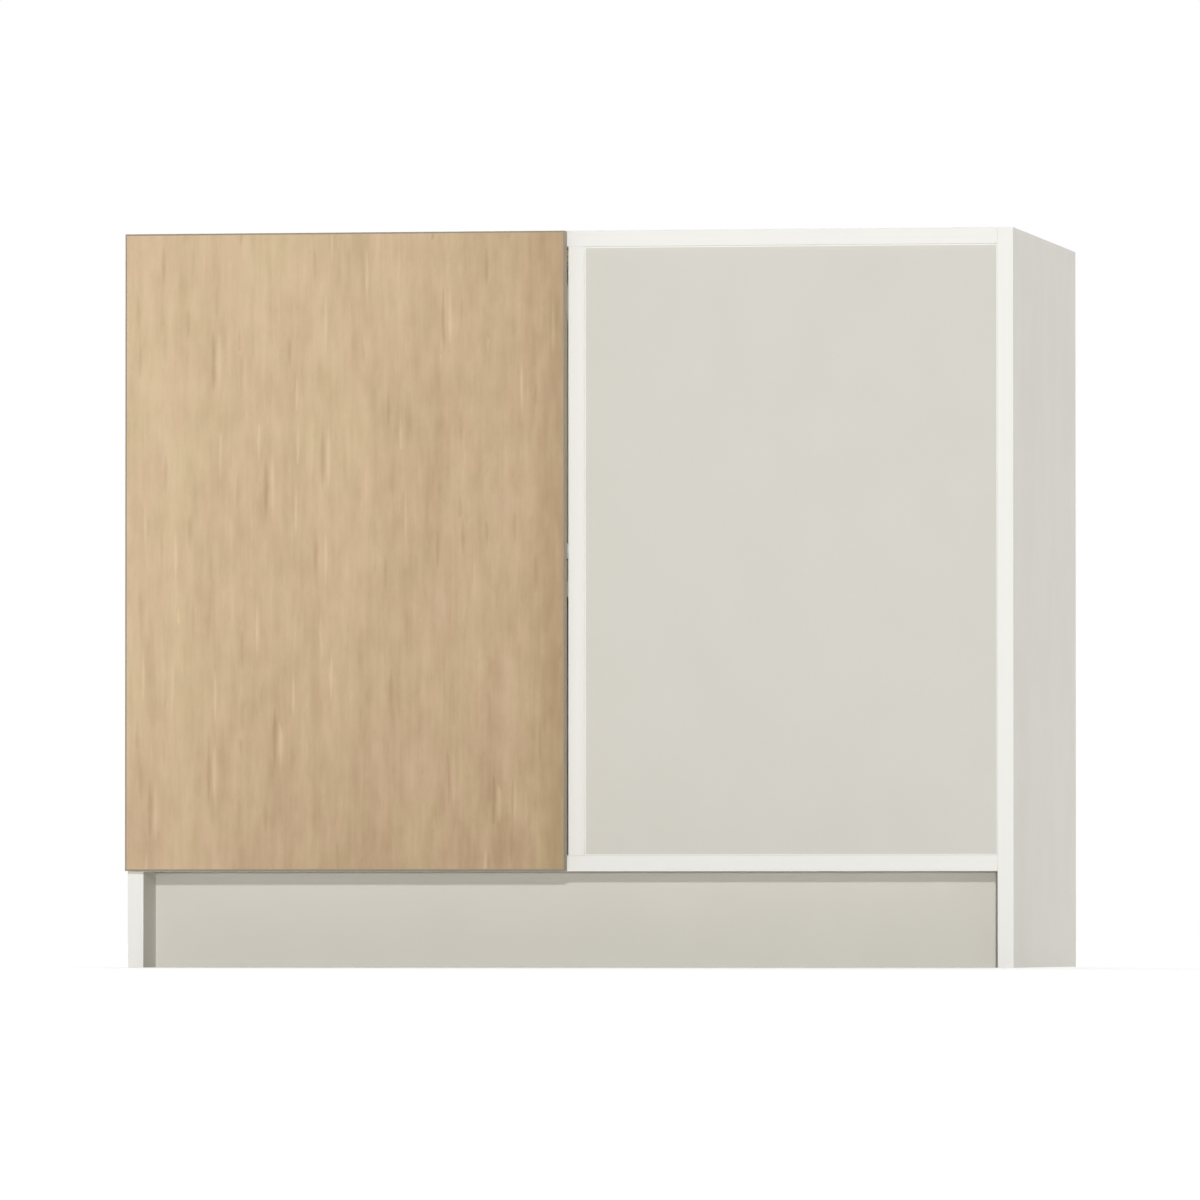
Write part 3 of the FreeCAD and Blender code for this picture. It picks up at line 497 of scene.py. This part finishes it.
# Door
# A slab of chipboard with a light oak laminate on both faces, the grain upright: wide soft bands, finer
# streaks, short dark flecks with a pale flank, thin pale strokes, and pores pressed in along the grain.
oak_dark, oak_light = paint(167, 139, 104), paint(223, 197, 162)
straw_tint, rose_tint = (0.990, 1.006, 0.965, 1.0), (1.018, 0.990, 1.0, 1.0)
tint_size, warm_low, warm_high = (0.060, 0.060, 0.10), 0.35, 0.65
tone_low, tone_high = -0.1, 1.1
oak_rough, oak_smooth, rough_below, smooth_above = 0.58, 0.48, 0.1, 0.9
pore_tone, grain_relief, line_share = 0.18, 0.00008, 0.3
low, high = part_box("door_panel")
width, tall = high.x - low.x, high.z - low.z
material, tree, shader, where = finish_of("oak_laminate", Specular_IOR_Level=0.35)

# The grain wavers sideways by a millimetre or so as it climbs.
waver_size, waver_reach = (0.05, 0.05, 0.16), 0.0035
waver = sums(tree, "SUBTRACT", noise(tree, where, waver_size), 0.5)
sideways = place(tree, "CombineXYZ", {0: sums(tree, "MULTIPLY", waver, waver_reach)}).outputs[0]
grain = vectors(tree, "ADD", where, sideways)["Vector"]


def flecks(cell, fleck, share, aside=0.0):
    """Spindle marks, one to a cell at most: 1 on a mark's middle line, 0 at its edge, where |x|/half width
    plus (z/half length) squared reaches 1. The share says how many cells hold one, and aside moves it to
    its flank."""
    cell_width, cell_length = cell
    half_width, half_length = fleck
    full_share = 0.6 * share
    scale = (1 / cell_width, 1 / cell_width, 1 / cell_length)
    mapped = place(tree, "Mapping", {"Vector": grain, "Scale": scale}).outputs[0]
    cells = place(tree, "TexVoronoi", {"Vector": mapped, "Scale": 1.0}, voronoi_dimensions="3D").outputs
    away = vectors(tree, "SUBTRACT", mapped, cells["Position"])["Vector"]
    parts = place(tree, "SeparateXYZ", {0: away}).outputs
    across = sums(tree, "MULTIPLY", parts["X"], cell_width / half_width)
    along = sums(tree, "MULTIPLY", parts["Z"], cell_length / half_length)
    off_line = sums(tree, "ABSOLUTE", sums(tree, "SUBTRACT", across, aside))
    off_end = sums(tree, "POWER", along, 2.0)
    inside = between(tree, sums(tree, "ADD", off_line, off_end), 0.0, 1.0, 1.0, 0.0)
    chance = place(tree, "SeparateColor", {0: cells["Color"]}).outputs[0]
    return sums(tree, "MULTIPLY", inside, between(tree, chance, 1 - share, 1 - full_share))


# The tone falls to the right and towards the floor, and once more close to the right edge.
lean_tone, fade_tone, edge_tone, edge_width = -0.25, 0.15, -0.09, 0.060
parts = place(tree, "SeparateXYZ", {0: where}).outputs
off_centre = sums(tree, "SUBTRACT", parts["X"], (low.x + high.x) / 2)
off_middle = sums(tree, "SUBTRACT", parts["Z"], (low.z + high.z) / 2)
lean = sums(tree, "MULTIPLY", off_centre, lean_tone / width)
fade = sums(tree, "MULTIPLY", off_middle, fade_tone / tall)
dark_edge = between(tree, parts["X"], high.x - edge_width, high.x, 0.0, edge_tone)
tone = sums(tree, "ADD", sums(tree, "ADD", lean, fade), sums(tree, "ADD", dark_edge, 0.5))

# Each layer of the grain is noise drawn out along it, added by its strength.
bands = noise(tree, grain, (0.055, 0.055, 0.50))
streaks = noise(tree, grain, (0.012, 0.012, 0.11), detail=3.0)
fibre_lines = noise(tree, grain, (0.0032, 0.0032, 0.06))
mottle = noise(tree, grain, (0.017, 0.017, 0.042), detail=3.0)
layers = ((bands, 0.40), (streaks, 0.40), (fibre_lines, 0.12), (mottle, 0.36))
for layer, strength in layers:
    swing = sums(tree, "SUBTRACT", layer, 0.5)
    tone = sums(tree, "ADD", tone, sums(tree, "MULTIPLY", swing, strength))

# Each kind of mark: its cell's width and length, half its own, and the share of cells with one. Dark marks
# take tone away and pale ones add it.
dark_fleck = ((0.070, 0.190), (0.0048, 0.046), 0.40)
short_fleck = ((0.030, 0.090), (0.0042, 0.028), 0.34)
pale_stroke = ((0.046, 0.140), (0.0030, 0.040), 0.45)
long_pore = ((0.0024, 0.014), (0.00028, 0.0045), 0.45)
short_pore = ((0.0016, 0.0075), (0.00020, 0.0022), 0.50)
marks = (
    (flecks(*dark_fleck), -0.23),
    (flecks(*dark_fleck, aside=1.5), 0.20),
    (flecks(*short_fleck), -0.13),
    (flecks(*pale_stroke), 0.20),
)
for mark, strength in marks:
    tone = sums(tree, "ADD", tone, sums(tree, "MULTIPLY", mark, strength))

# Pores crowd in some streaks and are sparse in others.
crowd_size, crowd_low, crowd_high, sparse = (0.009, 0.009, 0.070), 0.38, 0.62, 0.15
crowding = between(tree, noise(tree, grain, crowd_size), crowd_low, crowd_high, sparse, 1.0)
all_pores = sums(tree, "MAXIMUM", flecks(*long_pore), flecks(*short_pore))
pores = sums(tree, "MULTIPLY", all_pores, crowding)
tone = sums(tree, "SUBTRACT", tone, sums(tree, "MULTIPLY", pores, pore_tone))
wood = blended(tree, between(tree, tone, tone_low, tone_high), oak_dark, oak_light)
warm = between(tree, noise(tree, grain, tint_size, detail=3.0), warm_low, warm_high)
tint = blended(tree, warm, straw_tint, rose_tint)
feed(tree, shader, "Base Color", blended(tree, 1.0, wood, tint, "MULTIPLY"))
feed(tree, shader, "Roughness", between(tree, tone, rough_below, smooth_above, oak_rough, oak_smooth))
lined = sums(tree, "MULTIPLY", fibre_lines, line_share)
raised(tree, shader, sums(tree, "SUBTRACT", lined, pores), grain_relief)
dress(["door_panel"], material)

# Door edge band
# A two-millimetre plastic band round all four edges of the door, its outer arrises rounded off.
# Its dark taupe is painted shade: the thin dark line of shade on the rounded edges that frames the oak.
edge_shade_taupe, upright_lines = (152, 140, 119), (1.0, 1.0, 0.02)
drawn = extruded(
    "door_band", edge_shade_taupe, darker=10, lighter=8, along=upright_lines, shine=0.35, smooth=0.45, rough=0.55)
dress(["door_edge_band"], drawn)

# Hinges
# Cups, arms and links are pressed from steel strip, riveted on turned pins and nickel plated: bright, a
# little warm, with faint drawing lines. Screws hold each cup in the door and each plate on the side, and
# two more adjust the arm.
plate_screw_pitch, adjuster_pitch = 0.0018, 0.0008
nickel = metal("nickel", dark=(186, 180, 170), light=(222, 218, 210), smooth=0.22, rough=0.40)
dress(["hinge_cups", "hinge_plates", "hinge_arms", "hinge_inner_links", "hinge_outer_links"], nickel)
cross_screws("hinge_cup_screws", "door", nickel)
cross_screws("hinge_plate_screws", "carcass", nickel, plate_screw_pitch)
cross_screws("hinge_adjusters", "carcass", nickel, adjuster_pitch)


def riveted_pin(points):
    """A round pin as long as its solid, with a low dome of a quarter ellipse spread over each end."""
    middle, out, along, off = axis_of(points, long_axis(points))
    end, thick = along.max(), off.max()
    spread, proud, innermost = 1.5 * thick, 0.0004, 0.12
    rings, pin_turns = 7, 32
    bend = np.linspace(innermost, np.pi / 2, rings)
    half_radius = np.concatenate([spread * np.sin(bend), [thick]])
    half_height = np.concatenate([end + proud * np.cos(bend), [end]])
    radius = np.concatenate([half_radius, half_radius[::-1]])
    height = np.concatenate([half_height, -half_height[::-1]])
    return skin(turned(radius, height, pin_turns), middle, out)


for node, body in (("hinge_arm_pins", "carcass"), ("hinge_cup_pins", "door")):
    pins = [riveted_pin(points) for points in solids_of(node)]
    stand_in(node, pins, body, nickel)

# Shelf pins
# Four bent steel pins, nickel plated, pushed into the drilled rows: a stud in the hole, a plate flat on the
# side and a ledge under the shelf.
dress(["shelf_pins"], nickel)

# Push latch
# A moulded grey plastic housing screwed to the centre stile, with a plunger of the same plastic that pushes
# the door open, a small magnet on its tip, and a steel disc held on the door by one screw for the magnet.
grit_size, flow_size, grit_relief = (0.0005, 0.0005, 0.0005), (0.012, 0.012, 0.012), 0.00003
plastic_dark, plastic_light = paint(176, 177, 176), paint(188, 189, 187)
plastic_smooth, plastic_rough = 0.42, 0.56
material, tree, shader, where = finish_of("grey_plastic", Specular_IOR_Level=0.4)
grit = noise(tree, where, grit_size, detail=3.0)
flow = noise(tree, where, flow_size, detail=3.0)
feed(tree, shader, "Base Color", blended(tree, flow, plastic_dark, plastic_light))
feed(tree, shader, "Roughness", clouded(tree, grit, plastic_smooth, plastic_rough))
raised(tree, shader, grit, grit_relief)
dress(["latch_housing"], material)


def turned_rod(points):
    """A round rod as long as its solid along y, each end eased by a quarter circle."""
    along_y, rings = 1, 5
    middle, out, along, off = axis_of(points, along_y)
    end, thick = along.max(), off.max()
    easing, innermost = 0.0004, 0.5 * thick
    bend = np.linspace(0, np.pi / 2, rings)
    half_radius = np.concatenate([[innermost], thick - easing + easing * np.sin(bend)])
    half_height = np.concatenate([[end], end - easing + easing * np.cos(bend)])
    radius = np.concatenate([half_radius, half_radius[::-1]])
    height = np.concatenate([half_height, -half_height[::-1]])
    return skin(turned(radius, height), middle, out)


def flat_axis(points):
    """The number of the axis along which a solid is shortest."""
    return int(np.argmin(np.ptp(points, axis=0)))


def pressed_disc(points):
    """A disc: a dished seat in its middle, a flat face, a front rim rounded by a quarter circle and a flat
    back."""
    middle, out, along, off = axis_of(points, flat_axis(points))
    half, wide = along.max(), off.max()
    seat = off[along > half - close_to].min()
    sunk = along[np.isclose(off, seat, rtol=0.05)].min()
    easing, innermost = 0.6 * half, 0.3 * seat
    bend = np.linspace(0, np.pi / 2, rim_rings)
    rim_radius = wide - easing + easing * np.sin(bend)
    rim_height = half - easing + easing * np.cos(bend)
    radius = np.concatenate([[innermost, seat, seat], rim_radius, [wide, innermost]])
    height = np.concatenate([[sunk, sunk, half], rim_height, [-half, -half]])
    return skin(turned(radius, height), middle, out)


magnet = metal("magnet", dark=(104, 104, 106), light=(142, 142, 144), smooth=0.30, rough=0.50)
plunger_rod = [turned_rod(points) for points in solids_of("latch_plunger")]
magnet_rod = [turned_rod(points) for points in solids_of("latch_magnet")]
strike_disc = [pressed_disc(points) for points in solids_of("latch_strike")]
stand_in("latch_plunger", plunger_rod, "latch", material)
stand_in("latch_magnet", magnet_rod, "latch", magnet)
cross_screws("latch_screws", "carcass", zinc)
cross_screws("strike_screw", "door", zinc)
stand_in("latch_strike", strike_disc, "door", nickel)

# Door bumpers
# Clear soft polyurethane domes, moulded on a sheet with a sticky back and pressed inside the door's free
# corners. They quieten the door as it meets the stretcher and the deck.
haze_size, rubber_smooth, rubber_rough = (0.003, 0.003, 0.003), 0.12, 0.30
rubber_dark, rubber_light = paint(224, 226, 224), paint(244, 245, 243)


def moulded_dome(points):
    """A half ellipsoid on a short foot: the radius follows the climb's cosine, the height its sine."""
    middle, out, along, off = axis_of(points, flat_axis(points))
    half, wide = along.max(), off.max()
    foot, sunk, short_of_top, rings = 0.3 * half, 0.00003, 0.02, 20
    climb = np.linspace(np.pi / 2 - short_of_top, 0, rings)
    dome_height = foot - half + (2 * half - foot) * np.sin(climb)
    radius = np.concatenate([wide * np.cos(climb), [wide, 0.5 * wide]])
    height = np.concatenate([dome_height, [-half - sunk, -half - sunk]])
    return skin(turned(radius, height), middle, out)


material, tree, shader, where = finish_of("clear_rubber", Transmission_Weight=0.85, IOR=1.48)
haze = noise(tree, where, haze_size, detail=3.0)
feed(tree, shader, "Base Color", blended(tree, haze, rubber_dark, rubber_light))
feed(tree, shader, "Roughness", clouded(tree, haze, rubber_smooth, rubber_rough))
domes = [moulded_dome(points) for points in solids_of("door_bumpers")]
stand_in("door_bumpers", domes, "door", material)

# Studio
# A plain white floor that runs out of sight and keeps the shadow, even light from every side, and a long
# lens just above the floor, a little to the right of the front.
floor_reach, floor_lift, sky_light = 40.0, 0.36, 0.12
floor_white = paint(232, 232, 231)
corners = np.array([(-1, -1, 0), (1, -1, 0), (1, 1, 0), (-1, 1, 0)]) * floor_reach
mesh = bpy.data.meshes.new("floor")
mesh.from_pydata(corners.tolist(), [], [(0, 1, 2, 3)])
floor = bpy.data.objects.new("floor", mesh)
bpy.context.scene.collection.objects.link(floor)


def seen_straight(tree):
    """1 on the rays that show a surface as itself: from the camera, in a mirror or through glass."""
    path = place(tree, "LightPath").outputs
    mirrored = sums(tree, "MAXIMUM", path["Is Camera Ray"], path["Is Glossy Ray"])
    return sums(tree, "MAXIMUM", mirrored, path["Is Transmission Ray"])


material = bpy.data.materials.new("floor")
material.use_nodes = True
tree = material.node_tree
tree.nodes.clear()
matt = place(tree, "BsdfDiffuse", {"Color": floor_white})
lift = place(tree, "Emission", {"Strength": sums(tree, "MULTIPLY", seen_straight(tree), floor_lift)})
both = place(tree, "AddShader", {0: matt.outputs[0], 1: lift.outputs[0]})
place(tree, "OutputMaterial", {"Surface": both.outputs[0]})
mesh.materials.append(material)

world = bpy.data.worlds.new("studio")
world.use_nodes = True
tree = world.node_tree
tree.nodes.clear()
white = between(tree, seen_straight(tree), 0.0, 1.0, sky_light, 1.0)
sky = place(tree, "Background", {"Color": (1.0, 1.0, 1.0, 1.0), "Strength": white})
place(tree, "OutputWorld", {"Surface": sky.outputs[0]})
bpy.context.scene.world = world

# Each lamp: degrees round the object from the front, degrees above the floor, its share of full light, and
# its spread in degrees.
lamps = {
    "front_key": (9.2, 9.5, 0.32, 1.6),
    "front_wash": (9.2, 1.3, 0.275, 2.0),
    "right_lamp": (112.0, 15.0, 0.415, 60.0),
    "left_lamp": (-112.0, 15.0, 0.46, 60.0),
    "rear_lamp": (200.0, 15.0, 0.46, 50.0),
    "top_lamp": (176.0, 70.0, 0.34, 30.0),
}
for name, (around, above, share, spread) in lamps.items():
    light = bpy.data.lights.new(name, "SUN")
    light.energy = share * np.pi
    light.angle = np.radians(spread)
    lamp = bpy.data.objects.new(name, light)
    lamp.rotation_euler = (np.radians(90 - above), 0.0, np.radians(around))
    bpy.context.scene.collection.objects.link(lamp)

camera_around, camera_distance, camera_height = np.radians(9.25), 16.0, 0.040
lens_to_sensor = 11.0225
aim = np.array((-0.0079, 0.0, 0.4440))
outward = np.array((np.sin(camera_around), -np.cos(camera_around), 0.0))
stand = camera_distance * outward + np.array((0.0, 0.0, camera_height))
to_aim = aim - stand
tilt = np.arctan2(to_aim[2], np.hypot(to_aim[0], to_aim[1]))
turn = np.arctan2(-to_aim[0], to_aim[1])
photo_camera = bpy.data.objects.new("photo_camera", bpy.data.cameras.new("photo_camera"))
photo_camera.location = stand
photo_camera.rotation_euler = (np.pi / 2 + tilt, 0.0, turn)
photo_camera.data.sensor_width = 36.0
photo_camera.data.lens = lens_to_sensor * photo_camera.data.sensor_width
photo_camera.data.clip_end = 200.0
bpy.context.scene.collection.objects.link(photo_camera)
bpy.context.scene.camera = photo_camera
bpy.context.scene.view_settings.view_transform = "Standard"
